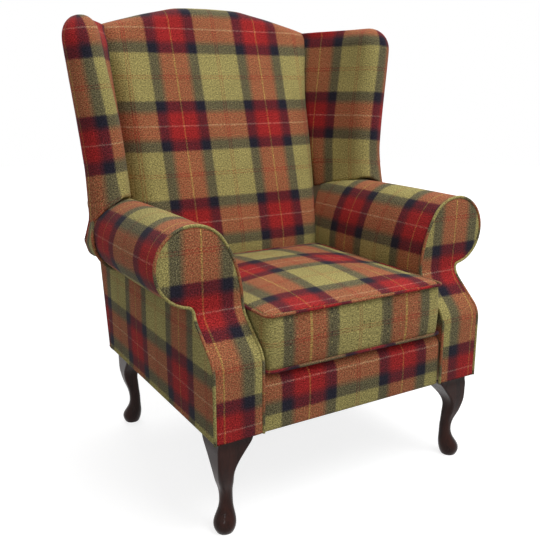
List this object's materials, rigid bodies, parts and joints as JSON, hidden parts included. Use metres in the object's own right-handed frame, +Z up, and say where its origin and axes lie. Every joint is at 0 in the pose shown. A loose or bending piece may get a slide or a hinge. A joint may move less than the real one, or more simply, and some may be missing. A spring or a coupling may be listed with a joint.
{
  "type": "wing armchair",
  "caption": "High-backed wing armchair with scroll arms, humped back, loose piped box cushion and cabriole legs, in tartan wool.",
  "frame": {"origin": "on the floor, under the centre of the chair's bounding box", "axes": "+Z up, -Y towards the front of the chair, +X to the right of someone who faces the chair; X = 0 is the plane of symmetry"},
  "size_m": [0.9074, 0.802, 1.103],
  "materials": {
    "tartan_wool": "woven wool in an olive, red and navy tartan with thin yellow, white and red lines",
    "mahogany": "dark mahogany stain under satin lacquer",
    "beech_frame": "plain sawn beech",
    "plywood": "raw plywood",
    "bolt_steel": "bright zinc",
    "webbing": "dark elastic webbing",
    "platform_cloth": "plain dark platform cloth over a felt pad",
    "black_lining": "thin black lining cloth",
    "cushion_foam": "cream foam",
    "zip_tape": "dark woven zip tape"
  },
  "bodies": {
    "chair": {"arm_left": "tartan_wool", "arm_post_left": "beech_frame", "arm_post_right": "beech_frame", "arm_rail_left": "beech_frame", "arm_rail_right": "beech_frame", "arm_right": "tartan_wool", "back_seat_rail": "beech_frame", "back_webbing": "webbing", "corner_block_front_left": "beech_frame", "corner_block_front_right": "beech_frame", "corner_block_rear_left": "beech_frame", "corner_block_rear_right": "beech_frame", "crest_rail": "beech_frame", "dust_cover": "black_lining", "facing_left": "tartan_wool", "facing_piping_left": "tartan_wool", "facing_piping_right": "tartan_wool", "facing_right": "tartan_wool", "front_rail_cover": "tartan_wool", "front_seat_rail": "beech_frame", "inside_back": "tartan_wool", "leg_bolt_front_left": "bolt_steel", "leg_bolt_front_right": "bolt_steel", "leg_bolt_rear_left": "bolt_steel", "leg_bolt_rear_right": "bolt_steel", "leg_front_left": "mahogany", "leg_front_right": "mahogany", "leg_rear_left": "mahogany", "leg_rear_right": "mahogany", "lower_back_rail": "beech_frame", "outside_arm_left": "tartan_wool", "outside_arm_right": "tartan_wool", "outside_back": "tartan_wool", "outside_wing_left": "tartan_wool", "outside_wing_right": "tartan_wool", "seat_deck": "platform_cloth", "seat_webbing_cross": "webbing", "seat_webbing_long": "webbing", "side_rail_left": "beech_frame", "side_rail_right": "beech_frame", "under_arm_piping_left": "tartan_wool", "under_arm_piping_right": "tartan_wool", "upright_left": "beech_frame", "upright_right": "beech_frame", "wing_board_left": "plywood", "wing_board_right": "plywood", "wing_left": "tartan_wool", "wing_piping_left": "tartan_wool", "wing_piping_right": "tartan_wool", "wing_right": "tartan_wool"},
    "seat_cushion": {"cushion_cover": "tartan_wool", "cushion_filling": "cushion_foam", "cushion_piping_bottom": "tartan_wool", "cushion_piping_top": "tartan_wool", "cushion_zip": "zip_tape"}
  },
  "joints": [
    {"name": "cushion_lift", "type": "slide", "parent": "chair", "child": "seat_cushion", "axis": [0, 0, 1], "range_m": [0, 0.32]}
  ]
}
